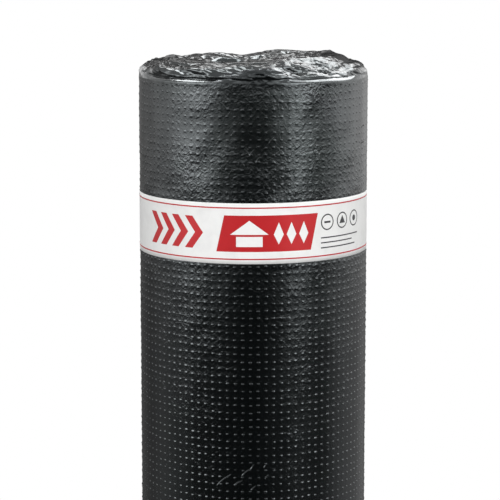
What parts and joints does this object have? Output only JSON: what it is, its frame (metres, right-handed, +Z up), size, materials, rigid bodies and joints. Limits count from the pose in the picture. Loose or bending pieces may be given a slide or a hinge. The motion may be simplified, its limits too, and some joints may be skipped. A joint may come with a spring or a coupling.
{
  "type": "roofing felt roll",
  "caption": "Standing roll of black bitumen roofing sheet with embossed film facing, crumpled film folded over its top end, an open bore and a paper label band.",
  "frame": {"origin": "on the bore's axis, on the surface that the roll stands on", "axes": "+Z up along the bore's axis, -Y towards the pictured front, +Y towards the sheet's outer edge"},
  "size_m": [0.2348, 0.2368, 1.024],
  "materials": {
    "membrane": "bitumen sheet with a glossy black film face embossed in a grid of dots",
    "film": "thin glossy black plastic film, crumpled",
    "label": "printed white paper, semi-matt"
  },
  "bodies": {
    "root": {"membrane_roll": "membrane", "end_film": "film", "label_band": "label"}
  },
  "joints": []
}
